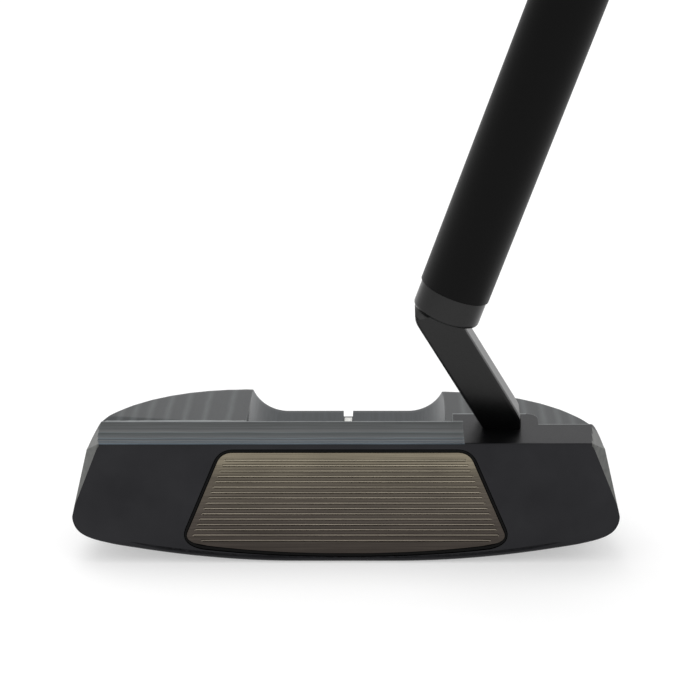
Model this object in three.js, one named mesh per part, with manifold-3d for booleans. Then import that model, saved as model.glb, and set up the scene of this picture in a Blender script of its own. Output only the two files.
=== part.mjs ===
// Mallet putter: a milled aluminium head with a grooved face insert in an elastomer cradle,
// a screwed-on slant neck, a shaft that slips over the neck's post, and a wrapped grip.
// Millimetres, +Z up, +X towards the heel, -Y the way the face points.
// The origin is on the ground, under the middle of the sole's flat.

import * as THREE from 'three';
import { mergeVertices } from 'three/addons/utils/BufferGeometryUtils.js';
import Module from 'manifold-3d';

const wasm = await Module();
wasm.setup();

const DEG = Math.PI / 180;
const FAR = 90;              // larger than the head, for cutting tools
const FIT = 0.15;            // clearance round a piece that sits in a pocket
const ROUND = 28;            // sides of a round piece
const SMALL_ROUND = 16;      // sides of a screw

// Head: how wide, tall and deep the milled block is.
const HALF_WIDTH = 55.5;
const TOP_HALF_WIDTH = 51.9;
const TOP_Z = 25.6;
const WIDEST_Z = 10;
const LEADING_EDGE_Y = -10;
const LOFT = 3 * DEG;
const DEPTH = 42;
const SIDE_DEPTH = 2;        // where the side wall starts to curve round to the back
const REAR_HALF_WIDTH = 21.2;
const SIDE_FULLNESS = 0.48;  // handle lengths of the rear curve, as shares of its span
const REAR_FULLNESS = 0.63;
const SOLE_FLAT_HALF = 10;
const SOLE_CAMBER_R = 185;
const SOLE_CORNER = 0.39;    // how far the lower corner tucks in
const SOLE_FLAT_DEPTH = 17;
const SOLE_RISE_R = 70;
const LEADING_EDGE_R = 1.6;

// Face facets: flats milled on the front corners, widest at the top edge.
const FACET_TOP_X = 49.5;
const FACET_TOP_DEPTH = 6;
const FACET_FOOT_Z = 13.1;
const FACET_FOOT_X = 54.55;

// End chamfers: slopes from the ends of the topline down to the side walls.
const CHAMFER_BACK_X = 50.06;
const CHAMFER_BACK_DEPTH = 9.3;
const CHAMFER_SLOPE = 45 * DEG;

// Topline: a shallow scoop on the toe side, a flat pad and a boss round the neck.
const RIDGE_DEPTH = 13.4;
const PAD_DEPTH = 12.2;
const SCOOP_END_X = 24;
const SCOOP_SAG = 0.45;
const BOSS_X = [21.9, 39.3];
const BOSS_DEPTH = 18.3;
const BOSS_CORNER_R = 2.5;

// Wings: one plane that falls to the rear and a little to the heel, with a channel between.
const WING_DROP = 0.35;
const WING_SLOPE = 5.5 * DEG;
const WING_SIDE_SLOPE = 0.014;
const CHANNEL_START = 14.2;
const CHANNEL_FLOOR_Z = 17.7;
const CHANNEL_HALF = 20.5;
const CHANNEL_FLOOR_HALF = 12.9;
const CHANNEL_R = 8;
const SIGHT_WIDTH = 2;
const SIGHT_CUT = 1.4;
const PAINT_THICK = 0.25;
const PAINT_END = 3;         // the paint stops this far short of the back

// Face insert: a trapezium with a bowed lower edge, sixteen milled grooves.
const INSERT_TOP = 23.8;
const INSERT_TOP_HALF = 25;
const INSERT_FOOT = 4.6;
const INSERT_FOOT_HALF = 33.1;
const INSERT_BOW = 2.65;     // how far the lower edge bows below its corners
const INSERT_CORNER = 2.4;
const INSERT_BOW_REACH = 1.5;   // where the bowed foot ends, in corner sizes from the side
const INSERT_BOW_TUCK = 0.35;   // and how far below the corner
const INSERT_THICK = 3.2;
const CRADLE_WALL = 0.45;
const CRADLE_FLOOR = 1;
const GROOVE_COUNT = 16;
const GROOVE_FIRST = 22.1;
const GROOVE_PITCH = 1.146;
const GROOVE_WIDTH = 0.5;
const GROOVE_CUT = 0.3;
const GROOVE_MARGIN = 1.25;

// Neck: a slanted flat bar with a tenon below and a collar and post above.
const LIE = 70 * DEG;
const AIM_X = 0.97;          // where the shaft's axis meets the ground
const AXIS_DEPTH = 3.5;
const SHAFT_START = 61;      // distances along the shaft's axis, from the ground
const COLLAR_LENGTH = 5.5;
const COLLAR_R = 6.75;
const POST_R = 5.9;
const POST_LENGTH = 28;
const NECK_X = 32.45;        // the bar's middle, at the level of the pad
const NECK_SPAN = [13.95, 35.65];  // the bar's sides are trimmed upright here
const NECK_MEETING = -1.57;  // from the shaft's axis to the bar's middle, under the collar
const NECK_DEPTH = 13.5;
const NECK_WIDTH = 9.2;
const NECK_THICK = 9;
const NECK_CORNER = 1;
const NECK_TOP_Z = 55.5;
const TENON_X = 31.7;
const TENON_R = 3.3;
const TENON_LENGTH = 10;
const SCREW_R = 1.95;
const SCREW_HEAD_R = 3.5;
const SCREW_HEAD = 4;
const SCREW_SEAT_Z = 6;

// Sole plate, its screws and the two sole weights.
const PLATE_HALF = 25.5;
const PLATE_SPAN = [6.5, 30];
const PLATE_THICK = 6;
const PLATE_CORNER = 4;
const PLATE_SCREW_X = 21.2;
const PLATE_SCREW_SPAN = [10.5, 26];
const PLATE_SCREW_HEAD_R = 2.7;
const PLATE_SCREW_R = 1.4;
const PLATE_SCREW_LENGTH = 10;
const PLATE_SCREW_SINK = 0.45;  // how far a screw's head sits inside the sole
const WEIGHT_X = 33.5;
const WEIGHT_DEPTH = 24;
const WEIGHT_R = 5.6;
const WEIGHT_THICK = 8;
const WEIGHT_INSET = 0.3;
const WASHER_THICK = 0.8;

// Shaft and grip, measured along the shaft's axis.
const CLUB_LENGTH = 863.6;   // 34 inches
const SHAFT_TIP_R = 7.05;
const SHAFT_BUTT_R = 7.62;
const SHAFT_TAPER_END = 300;
const SHAFT_WALL = 0.7;
const GRIP_START = 596;
const GRIP_TAPE = 0.25;
const GRIP_SKIN = 2;
const GRIP_TOP_SIZE = 15;    // half the grip's width at the cap
const GRIP_FOOT_SIZE = 12.3;
const GRIP_MOUTH = 5;        // length of the rounded lower mouth
const CAP_THICK = 4;
const CAP_PLUG_R = 4;

const SHAFT_TILT = Math.PI / 2 - LIE;
const fromEdge = (depth) => LEADING_EDGE_Y + depth;

// --- Solids -------------------------------------------------------------------------------

// Turns a closed geometry into a solid: shared points merged, empty triangles dropped.
function toSolid(geometry) {
  const bare = geometry.clone();
  bare.deleteAttribute('normal');
  bare.deleteAttribute('uv');
  const merged = mergeVertices(bare, 1e-4);
  const index = merged.index.array;
  const triangles = [];
  for (let i = 0; i < index.length; i += 3) {
    const [a, b, c] = [index[i], index[i + 1], index[i + 2]];
    if (a !== b && b !== c && c !== a) triangles.push(a, b, c);
  }
  return new wasm.Manifold(new wasm.Mesh({
    numProp: 3,
    vertProperties: new Float32Array(merged.attributes.position.array),
    triVerts: new Uint32Array(triangles),
  }));
}

function toGeometry(solid) {
  const mesh = solid.getMesh();
  const geometry = new THREE.BufferGeometry();
  geometry.setAttribute('position', new THREE.BufferAttribute(new Float32Array(mesh.vertProperties), 3));
  geometry.setIndex(new THREE.BufferAttribute(new Uint32Array(mesh.triVerts), 1));
  return geometry;
}

function box(xs, ys, zs) {
  const geometry = new THREE.BoxGeometry(xs[1] - xs[0], ys[1] - ys[0], zs[1] - zs[0]);
  geometry.translate((xs[0] + xs[1]) / 2, (ys[0] + ys[1]) / 2, (zs[0] + zs[1]) / 2);
  return toSolid(geometry);
}

// An upright cylinder, or a cone frustum when the two radii differ.
function upright(x, y, low, high, radius, topRadius = radius, sides = ROUND) {
  const geometry = new THREE.CylinderGeometry(topRadius, radius, high - low, sides);
  geometry.rotateX(Math.PI / 2);
  geometry.translate(x, y, (low + high) / 2);
  return toSolid(geometry);
}

function screwRound(x, y, low, high, radius, topRadius = radius) {
  return upright(x, y, low, high, radius, topRadius, SMALL_ROUND);
}

// Everything on the outer side of a plane, as a large block.
function beyond(plane) {
  const geometry = new THREE.BoxGeometry(4 * FAR, 4 * FAR, 2 * FAR);
  geometry.translate(0, 0, FAR);
  geometry.applyQuaternion(new THREE.Quaternion().setFromUnitVectors(
    new THREE.Vector3(0, 0, 1), plane.normal));
  const foot = plane.normal.clone().multiplyScalar(-plane.constant);
  geometry.translate(foot.x, foot.y, foot.z);
  return toSolid(geometry);
}

// A shape drawn in X and Z, given thickness along Y.
function alongY(shape, low, high, curveSegments = 12) {
  const geometry = new THREE.ExtrudeGeometry(shape, {
    depth: high - low, bevelEnabled: false, curveSegments });
  geometry.rotateX(Math.PI / 2);
  geometry.translate(0, high, 0);
  return toSolid(geometry);
}

// A shape drawn on the face (X across, Y up the face), sunk into the head between two depths.
function intoFace(shape, from, to, curveSegments = 8) {
  const geometry = new THREE.ExtrudeGeometry(shape, {
    depth: to - from, bevelEnabled: false, curveSegments });
  geometry.translate(0, 0, -to);
  geometry.rotateX(Math.PI / 2 - LOFT);
  geometry.translate(0, LEADING_EDGE_Y, 0);
  return toSolid(geometry);
}

function roundedRect(xs, ys, radius) {
  const shape = new THREE.Shape();
  shape.moveTo(xs[0] + radius, ys[0]);
  shape.absarc(xs[1] - radius, ys[0] + radius, radius, -Math.PI / 2, 0);
  shape.absarc(xs[1] - radius, ys[1] - radius, radius, 0, Math.PI / 2);
  shape.absarc(xs[0] + radius, ys[1] - radius, radius, Math.PI / 2, Math.PI);
  shape.absarc(xs[0] + radius, ys[0] + radius, radius, Math.PI, 1.5 * Math.PI);
  return shape;
}

// A shape drawn in X and Y, given height along Z.
function raised(shape, low, high, curveSegments = 8, steps = 1) {
  const geometry = new THREE.ExtrudeGeometry(shape, {
    depth: high - low, bevelEnabled: false, curveSegments, steps });
  geometry.translate(0, 0, low);
  return geometry;
}

// A profile of (radius, height) points turned about the upright axis.
function turned(points, sides = ROUND) {
  const geometry = new THREE.LatheGeometry(points.map(([r, z]) => new THREE.Vector2(r, z)), sides);
  geometry.rotateX(Math.PI / 2);
  return geometry;
}

// Moves a geometry from the shaft's own frame (Z up the shaft) to the club's frame.
function ontoShaftAxis(geometry) {
  geometry.rotateY(SHAFT_TILT);
  geometry.translate(AIM_X, fromEdge(AXIS_DEPTH), 0);
  return geometry;
}

// --- Head ---------------------------------------------------------------------------------

// Seen from above, at its widest level: straight sides, then one curve round to the back.
function planShape() {
  const back = fromEdge(DEPTH);
  const side = fromEdge(SIDE_DEPTH);
  const reachX = REAR_FULLNESS * (HALF_WIDTH - REAR_HALF_WIDTH);
  const reachY = SIDE_FULLNESS * (DEPTH - SIDE_DEPTH);
  const shape = new THREE.Shape();
  shape.moveTo(-HALF_WIDTH, fromEdge(-5));
  shape.lineTo(HALF_WIDTH, fromEdge(-5));
  shape.lineTo(HALF_WIDTH, side);
  shape.bezierCurveTo(HALF_WIDTH, side + reachY, REAR_HALF_WIDTH + reachX, back, REAR_HALF_WIDTH, back);
  shape.lineTo(-REAR_HALF_WIDTH, back);
  shape.bezierCurveTo(-REAR_HALF_WIDTH - reachX, back, -HALF_WIDTH, side + reachY, -HALF_WIDTH, side);
  return shape;
}

// How far the outline is drawn in at a height: straight draft above, a rounded corner below.
function drawnIn(z) {
  if (z >= WIDEST_Z) {
    const share = (z - WIDEST_Z) / (TOP_Z - WIDEST_Z);
    return 1 - share * (1 - TOP_HALF_WIDTH / HALF_WIDTH);
  }
  const down = (WIDEST_Z - z) / WIDEST_Z;
  return 1 - SOLE_CORNER * (1 - Math.sqrt(1 - down * down));
}

function draftedBlock() {
  const geometry = raised(planShape(), 0, TOP_Z, 14, 10);
  const position = geometry.attributes.position;
  const side = fromEdge(SIDE_DEPTH);
  for (let i = 0; i < position.count; i += 1) {
    const share = drawnIn(position.getZ(i));
    const y = position.getY(i);
    position.setX(i, position.getX(i) * share);
    if (y > side) position.setY(i, side + (y - side) * share);
  }
  return toSolid(geometry);
}

// The sole seen from the front: flat in the middle, cambered towards heel and toe.
function camberShape() {
  const sweep = Math.asin((FAR - SOLE_FLAT_HALF) / SOLE_CAMBER_R);
  const up = Math.PI / 2;
  const shape = new THREE.Shape();
  shape.moveTo(-SOLE_FLAT_HALF, 0);
  shape.absarc(SOLE_FLAT_HALF, SOLE_CAMBER_R, SOLE_CAMBER_R, -up, -up + sweep);
  shape.lineTo(FAR, FAR);
  shape.lineTo(-FAR, FAR);
  shape.absarc(-SOLE_FLAT_HALF, SOLE_CAMBER_R, SOLE_CAMBER_R, -up - sweep, -up);
  return shape;
}

// The head seen from the side: rounded leading edge, flat sole, then a rise to the back.
function sideShape() {
  const up = Math.PI / 2;
  const start = LEADING_EDGE_R + LEADING_EDGE_R * Math.tan(LOFT);
  const sweep = Math.asin((DEPTH + 5 - SOLE_FLAT_DEPTH) / SOLE_RISE_R);
  const shape = new THREE.Shape();
  shape.moveTo(fromEdge(start), 0);
  shape.absarc(fromEdge(SOLE_FLAT_DEPTH), SOLE_RISE_R, SOLE_RISE_R, -up, -up + sweep);
  shape.lineTo(fromEdge(DEPTH + 5), TOP_Z);
  shape.lineTo(fromEdge(TOP_Z * Math.tan(LOFT)), TOP_Z);
  shape.absarc(fromEdge(start), LEADING_EDGE_R, LEADING_EDGE_R, Math.PI - LOFT, 1.5 * Math.PI);
  return shape;
}

function cornerPoint(side, x, depth, z) {
  return new THREE.Vector3(side * x, fromEdge(depth), z);
}

// Stock outside a flat that runs through the face's top corner and two further points.
function cornerCut(side, foot, back) {
  const top = cornerPoint(side, FACET_TOP_X, TOP_Z * Math.tan(LOFT), TOP_Z);
  const plane = side > 0
    ? new THREE.Plane().setFromCoplanarPoints(foot, back, top)
    : new THREE.Plane().setFromCoplanarPoints(foot, top, back);
  return beyond(plane);
}

function facet(side) {
  const foot = cornerPoint(side, FACET_FOOT_X, FACET_FOOT_Z * Math.tan(LOFT), FACET_FOOT_Z);
  const back = cornerPoint(side, TOP_HALF_WIDTH, FACET_TOP_DEPTH, TOP_Z);
  return cornerCut(side, foot, back);
}

function endChamfer(side) {
  const out = TOP_HALF_WIDTH - FACET_TOP_X;
  const foot = cornerPoint(
    side, TOP_HALF_WIDTH, TOP_Z * Math.tan(LOFT), TOP_Z - out * Math.tan(CHAMFER_SLOPE));
  const back = cornerPoint(side, CHAMFER_BACK_X, CHAMFER_BACK_DEPTH, TOP_Z);
  return cornerCut(side, foot, back);
}

// The outside of the head before its top is milled.
function headForm() {
  const side = new THREE.ExtrudeGeometry(sideShape(), {
    depth: 4 * FAR, bevelEnabled: false, curveSegments: 12 });
  side.rotateY(Math.PI / 2);
  side.rotateX(Math.PI / 2);
  side.translate(-2 * FAR, 0, 0);
  return draftedBlock()
    .intersect(alongY(camberShape(), -FAR, FAR, 22))
    .intersect(toSolid(side))
    .subtract(facet(1))
    .subtract(facet(-1))
    .subtract(endChamfer(1))
    .subtract(endChamfer(-1));
}

// Stock above the wings, behind the topline and clear of the boss.
function wingCut() {
  const normal = new THREE.Vector3(WING_SIDE_SLOPE, Math.tan(WING_SLOPE), 1).normalize();
  const start = new THREE.Vector3(0, fromEdge(RIDGE_DEPTH), TOP_Z - WING_DROP);
  const boss = roundedRect(BOSS_X, [fromEdge(0), fromEdge(BOSS_DEPTH)], BOSS_CORNER_R);
  const behindRidge = box([-FAR, FAR], [fromEdge(RIDGE_DEPTH), FAR], [0, FAR]);
  const behindPad = box([BOSS_X[1], FAR], [fromEdge(PAD_DEPTH), FAR], [0, FAR]);
  return beyond(new THREE.Plane().setFromNormalAndCoplanarPoint(normal, start))
    .intersect(behindRidge.add(behindPad))
    .subtract(toSolid(raised(boss, 0, FAR)));
}

// The ball-ended cut along the toe half of the topline.
function scoopCut() {
  const front = TOP_Z * Math.tan(LOFT);
  const halfSpan = (RIDGE_DEPTH - front) / 2;
  const radius = (halfSpan * halfSpan + SCOOP_SAG * SCOOP_SAG) / (2 * SCOOP_SAG);
  const geometry = new THREE.CylinderGeometry(radius, radius, 2 * FAR, 240);
  geometry.rotateZ(Math.PI / 2);
  geometry.translate(SCOOP_END_X - FAR, fromEdge(front + halfSpan), TOP_Z - SCOOP_SAG + radius);
  return toSolid(geometry);
}

// The channel between the wings, with ball-nosed walls.
function channelCut() {
  const reach = CHANNEL_HALF - CHANNEL_FLOOR_HALF;
  const sweep = Math.asin(reach / CHANNEL_R);
  const centreZ = CHANNEL_FLOOR_Z + CHANNEL_R;
  const up = Math.PI / 2;
  const shape = new THREE.Shape();
  shape.moveTo(-CHANNEL_FLOOR_HALF, CHANNEL_FLOOR_Z);
  shape.absarc(CHANNEL_FLOOR_HALF, centreZ, CHANNEL_R, -up, -up + sweep);
  shape.lineTo(CHANNEL_HALF, TOP_Z + 5);
  shape.lineTo(-CHANNEL_HALF, TOP_Z + 5);
  shape.absarc(-CHANNEL_FLOOR_HALF, centreZ, CHANNEL_R, -up - sweep, -up);
  return alongY(shape, fromEdge(CHANNEL_START), FAR, 16);
}

function sightShape(width, cut, height) {
  const floor = CHANNEL_FLOOR_Z - cut;
  return roundedRect([-width / 2, width / 2], [floor, floor + height], 0.35);
}

// The insert's outline, grown or shrunk by a margin.
function insertShape(margin) {
  const corner = INSERT_CORNER + margin;
  const slope = (INSERT_FOOT_HALF - INSERT_TOP_HALF) / (INSERT_TOP - INSERT_FOOT);
  const wide = margin * Math.hypot(1, slope);
  const top = INSERT_TOP + margin;
  const foot = INSERT_FOOT;
  const topHalf = INSERT_TOP_HALF + wide - slope * margin;
  const footHalf = INSERT_FOOT_HALF + wide;
  const along = corner / Math.hypot(1, slope);
  const low = foot - INSERT_BOW - margin;
  const bowX = footHalf - INSERT_BOW_REACH * corner;
  const bowY = foot - INSERT_BOW_TUCK * corner - margin;
  const shape = new THREE.Shape();
  shape.moveTo(0, low);
  shape.quadraticCurveTo(footHalf / 2, low, bowX, bowY);
  shape.quadraticCurveTo(footHalf, foot - margin, footHalf - slope * along, foot + along);
  shape.lineTo(topHalf + slope * along, top - along);
  shape.quadraticCurveTo(topHalf, top, topHalf - corner, top);
  shape.lineTo(corner - topHalf, top);
  shape.quadraticCurveTo(-topHalf, top, -topHalf - slope * along, top - along);
  shape.lineTo(slope * along - footHalf, foot + along);
  shape.quadraticCurveTo(-footHalf, foot - margin, -bowX, bowY);
  shape.quadraticCurveTo(-footHalf / 2, low, 0, low);
  return shape;
}

function grooves() {
  const slope = (INSERT_FOOT_HALF - INSERT_TOP_HALF) / (INSERT_TOP - INSERT_FOOT);
  let all = null;
  for (let i = 0; i < GROOVE_COUNT; i += 1) {
    const height = GROOVE_FIRST - i * GROOVE_PITCH;
    const tuck = i === GROOVE_COUNT - 1 ? 1.2 : 0;
    const half = INSERT_TOP_HALF + slope * (INSERT_TOP - height) - GROOVE_MARGIN - tuck;
    const slot = roundedRect([-half, half],
      [height - GROOVE_WIDTH / 2, height + GROOVE_WIDTH / 2], 0.98 * GROOVE_WIDTH / 2);
    const cut = intoFace(slot, -1, GROOVE_CUT, 2);
    all = all ? all.add(cut) : cut;
  }
  return all;
}

function faceInsert() {
  return intoFace(insertShape(-FIT), 0, INSERT_THICK).subtract(grooves());
}

function insertCradle() {
  const depth = INSERT_THICK + FIT + CRADLE_FLOOR;
  return intoFace(insertShape(CRADLE_WALL), 0.1, depth)
    .subtract(intoFace(insertShape(0), -1, INSERT_THICK + FIT));
}

function headBody() {
  const pocket = intoFace(insertShape(CRADLE_WALL + FIT), -5, INSERT_THICK + CRADLE_FLOOR + 2 * FIT);
  const sight = alongY(sightShape(SIGHT_WIDTH, SIGHT_CUT, 6), fromEdge(CHANNEL_START), FAR, 4);
  const neckY = fromEdge(NECK_DEPTH);
  const socket = upright(TENON_X, neckY, TOP_Z - TENON_LENGTH - 0.4, TOP_Z + 1, TENON_R + FIT)
    .add(upright(TENON_X, neckY, -1, TOP_Z, SCREW_R + 2 * FIT))
    .add(upright(TENON_X, neckY, -1, SCREW_SEAT_Z, SCREW_HEAD_R + 2 * FIT));
  const plate = toSolid(raised(plateOutline(0), -1, PLATE_THICK + FIT));
  let body = headForm()
    .subtract(wingCut())
    .subtract(scoopCut())
    .subtract(channelCut())
    .subtract(sight)
    .subtract(pocket)
    .subtract(socket)
    .subtract(plate);
  for (const side of [-1, 1]) {
    const top = WEIGHT_INSET + weightFoot() + WEIGHT_THICK + WASHER_THICK + 2 * FIT;
    body = body.subtract(upright(side * WEIGHT_X, fromEdge(WEIGHT_DEPTH), -1, top, WEIGHT_R + FIT));
  }
  for (const [x, y] of plateScrewPlaces()) {
    body = body.subtract(screwRound(x, y, -1, PLATE_SCREW_LENGTH + 1.5, PLATE_SCREW_R + FIT));
  }
  return body;
}

function sightPaint() {
  const shape = roundedRect(
    [-SIGHT_WIDTH / 2 + FIT, SIGHT_WIDTH / 2 - FIT],
    [CHANNEL_FLOOR_Z - SIGHT_CUT + 0.1, CHANNEL_FLOOR_Z - SIGHT_CUT + 0.1 + PAINT_THICK], 0.1);
  return alongY(shape, fromEdge(CHANNEL_START + FIT), fromEdge(DEPTH - PAINT_END), 2);
}

// --- Neck ---------------------------------------------------------------------------------

// The bar leans to the toe and forwards as it rises, to meet the shaft's axis at the collar.
function neckBar() {
  const foot = TOP_Z + 0.05;
  const meetingZ = (SHAFT_START - COLLAR_LENGTH) * Math.cos(SHAFT_TILT);
  const meetingX = AIM_X + (SHAFT_START - COLLAR_LENGTH) * Math.sin(SHAFT_TILT) + NECK_MEETING;
  const rise = meetingZ - TOP_Z;
  const leanX = (meetingX - NECK_X) / rise;
  const leanY = (AXIS_DEPTH - NECK_DEPTH) / rise;
  const section = roundedRect(
    [-NECK_WIDTH / 2, NECK_WIDTH / 2], [-NECK_THICK / 2, NECK_THICK / 2], NECK_CORNER);
  const geometry = raised(section, foot, NECK_TOP_Z);
  const position = geometry.attributes.position;
  for (let i = 0; i < position.count; i += 1) {
    const up = position.getZ(i) - TOP_Z;
    position.setX(i, position.getX(i) + NECK_X + leanX * up);
    position.setY(i, position.getY(i) + fromEdge(NECK_DEPTH) + leanY * up);
  }
  return toSolid(geometry).intersect(box(NECK_SPAN, [-FAR, FAR], [0, FAR]));
}

function slantNeck() {
  const collarFoot = SHAFT_START - COLLAR_LENGTH;
  const postTop = SHAFT_START + POST_LENGTH;
  const collar = toSolid(ontoShaftAxis(turned([
    [0, collarFoot], [COLLAR_R - 0.5, collarFoot], [COLLAR_R, collarFoot + 0.5],
    [COLLAR_R, SHAFT_START - 0.1], [POST_R, SHAFT_START - 0.1],
    [POST_R, postTop - 1], [POST_R - 1, postTop], [0, postTop]], 40)));
  const axisUp = new THREE.Vector3(Math.sin(SHAFT_TILT), 0, Math.cos(SHAFT_TILT));
  const centre = new THREE.Vector3(AIM_X, fromEdge(AXIS_DEPTH), 0)
    .addScaledVector(axisUp, collarFoot + 0.4);
  const overCollar = beyond(new THREE.Plane().setFromNormalAndCoplanarPoint(axisUp, centre));
  const neckY = fromEdge(NECK_DEPTH);
  const tenon = upright(TENON_X, neckY, TOP_Z - TENON_LENGTH, TOP_Z + 1, TENON_R);
  const tapped = upright(TENON_X, neckY, 0, TOP_Z - 1, SCREW_R + FIT);
  return neckBar().subtract(overCollar).add(collar).add(tenon).subtract(tapped);
}

// A hexagonal key socket, open downwards.
function keySocket(x, y, low, high, acrossFlats) {
  return upright(x, y, low, high, acrossFlats / 2 / Math.cos(30 * DEG), undefined, 6);
}

function neckScrew() {
  const y = fromEdge(NECK_DEPTH);
  const seat = SCREW_SEAT_Z - FIT;
  return upright(TENON_X, y, seat - SCREW_HEAD, seat, SCREW_HEAD_R)
    .add(screwRound(TENON_X, y, seat - 1, TOP_Z - 3, SCREW_R))
    .subtract(keySocket(TENON_X, y, 0, seat - SCREW_HEAD + 2.2, 3));
}

// --- Sole ---------------------------------------------------------------------------------

function plateOutline(gap) {
  return roundedRect([gap - PLATE_HALF, PLATE_HALF - gap],
    [fromEdge(PLATE_SPAN[0] + gap), fromEdge(PLATE_SPAN[1] - gap)], PLATE_CORNER - gap);
}

function plateScrewPlaces() {
  return [-1, 1].flatMap(
    (side) => PLATE_SCREW_SPAN.map((depth) => [side * PLATE_SCREW_X, fromEdge(depth)]));
}

// Height of the sole at a place under the plate or a weight.
function soleHeight(x, y) {
  const out = Math.max(0, Math.abs(x) - SOLE_FLAT_HALF);
  const back = Math.max(0, y - fromEdge(SOLE_FLAT_DEPTH));
  const camber = SOLE_CAMBER_R - Math.sqrt(SOLE_CAMBER_R ** 2 - out ** 2);
  return Math.max(camber, SOLE_RISE_R - Math.sqrt(SOLE_RISE_R ** 2 - back ** 2));
}

function solePlate() {
  let plate = headForm().intersect(toSolid(raised(plateOutline(FIT), -1, PLATE_THICK)));
  for (const [x, y] of plateScrewPlaces()) {
    const seat = soleHeight(x, y) + PLATE_SCREW_SINK + FIT;
    const [head, hole] = [PLATE_SCREW_HEAD_R + FIT, PLATE_SCREW_R + FIT];
    plate = plate
      .subtract(screwRound(x, y, -1, PLATE_THICK + 1, hole))
      .subtract(screwRound(x, y, -1, seat, head))
      .subtract(screwRound(x, y, seat - 0.01, seat + head - hole, head, hole));
  }
  return plate;
}

function plateScrew([x, y]) {
  const foot = soleHeight(x, y) + PLATE_SCREW_SINK;
  const sink = PLATE_SCREW_HEAD_R - PLATE_SCREW_R;
  return screwRound(x, y, foot, foot + 0.15, PLATE_SCREW_HEAD_R)
    .add(screwRound(x, y, foot + 0.15, foot + 0.15 + sink, PLATE_SCREW_HEAD_R, PLATE_SCREW_R))
    .add(screwRound(x, y, foot + sink, foot + PLATE_SCREW_LENGTH, PLATE_SCREW_R))
    .subtract(keySocket(x, y, foot - 1, foot + 1, 1.7));
}

function weightFoot() {
  return soleHeight(WEIGHT_X + WEIGHT_R, fromEdge(WEIGHT_DEPTH));
}

function soleWeight(side) {
  const x = side * WEIGHT_X;
  const y = fromEdge(WEIGHT_DEPTH);
  const foot = weightFoot() + WEIGHT_INSET;
  return upright(x, y, foot, foot + 0.4, WEIGHT_R - 0.4, WEIGHT_R)
    .add(upright(x, y, foot + 0.4, foot + WEIGHT_THICK, WEIGHT_R))
    .subtract(keySocket(x, y, foot - 1, foot + 3, 4));
}

function weightWasher(side) {
  const x = side * WEIGHT_X;
  const y = fromEdge(WEIGHT_DEPTH);
  const foot = weightFoot() + WEIGHT_INSET + WEIGHT_THICK + 0.1;
  return upright(x, y, foot, foot + WASHER_THICK, WEIGHT_R - FIT)
    .subtract(upright(x, y, foot - 1, foot + WASHER_THICK + 1, 3.2));
}

// --- Shaft and grip, in the shaft's own frame ---------------------------------------------

function shaftTube() {
  const end = CLUB_LENGTH - CAP_THICK - 1;
  const boreTip = POST_R + FIT;
  return turned([
    [boreTip, SHAFT_START], [SHAFT_TIP_R - 0.25, SHAFT_START], [SHAFT_TIP_R, SHAFT_START + 0.25],
    [SHAFT_BUTT_R, SHAFT_TAPER_END], [SHAFT_BUTT_R, end],
    [SHAFT_BUTT_R - SHAFT_WALL, end], [SHAFT_BUTT_R - SHAFT_WALL, SHAFT_TAPER_END],
    [boreTip, SHAFT_START + POST_LENGTH + 4], [boreTip, SHAFT_START]], 40);
}

function gripTape() {
  const inner = SHAFT_BUTT_R + 0.08;
  const [low, high] = [GRIP_START + 6, CLUB_LENGTH - CAP_THICK - 6];
  const outer = inner + GRIP_TAPE;
  return turned([[inner, low], [outer, low], [outer, high], [inner, high], [inner, low]]);
}

// A round section with a flat for the thumbs on its toe side, for a half-width of one.
function gripSection() {
  const flat = 0.86;
  const angle = Math.acos(flat);
  const shape = new THREE.Shape();
  shape.absarc(0, 0, 1, Math.PI + angle, 3 * Math.PI - angle);
  return shape;
}

function gripSize(s) {
  const share = (s - GRIP_START) / (CLUB_LENGTH - GRIP_START);
  const size = GRIP_FOOT_SIZE + (GRIP_TOP_SIZE - GRIP_FOOT_SIZE) * Math.max(0, share);
  const intoMouth = Math.max(0, 1 - (s - GRIP_START) / GRIP_MOUTH);
  return size - 1.6 * intoMouth ** 2;
}

// A length of the grip's outer form, inset all round by a margin.
function gripForm(low, high, inset, steps) {
  const geometry = raised(gripSection(), low, high, 26, steps);
  const position = geometry.attributes.position;
  for (let i = 0; i < position.count; i += 1) {
    const size = gripSize(position.getZ(i)) - inset;
    position.setX(i, position.getX(i) * size);
    position.setY(i, position.getY(i) * size);
  }
  return toSolid(geometry);
}

const GRIP_END = CLUB_LENGTH - CAP_THICK - 0.1;
const CORE_BORE = SHAFT_BUTT_R + GRIP_TAPE + 0.2;

function gripSkin() {
  const shoulder = GRIP_START + GRIP_MOUTH;
  const mouth = upright(0, 0, GRIP_START - 1, shoulder + 1, CORE_BORE);
  const hollow = gripForm(shoulder, GRIP_END + 1, GRIP_SKIN, 4);
  return gripForm(GRIP_START, shoulder, 0, 4)
    .add(gripForm(shoulder, GRIP_END, 0, 3))
    .subtract(hollow)
    .subtract(mouth);
}

function gripCore() {
  return gripForm(GRIP_START + GRIP_MOUTH + 0.1, GRIP_END - 0.1, GRIP_SKIN + 0.15, 4)
    .subtract(upright(0, 0, GRIP_START, GRIP_END + 1, CORE_BORE));
}

function gripCap() {
  const low = CLUB_LENGTH - CAP_THICK;
  const edge = 1;
  const disc = gripForm(low, CLUB_LENGTH - edge, 0.2, 1);
  const crown = gripForm(CLUB_LENGTH - edge, CLUB_LENGTH, 0.2 + edge, 1);
  return disc.add(crown).subtract(upright(0, 0, low - 1, CLUB_LENGTH + 1, CAP_PLUG_R + FIT));
}

function capPlug() {
  const [low, high] = [CLUB_LENGTH - CAP_THICK, CLUB_LENGTH - 0.5];
  return upright(0, 0, low, high, CAP_PLUG_R)
    .subtract(box([-3, 3], [-0.5, 0.5], [high - 1.2, high + 1]));
}

// --- Finishes and assembly ----------------------------------------------------------------

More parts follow.
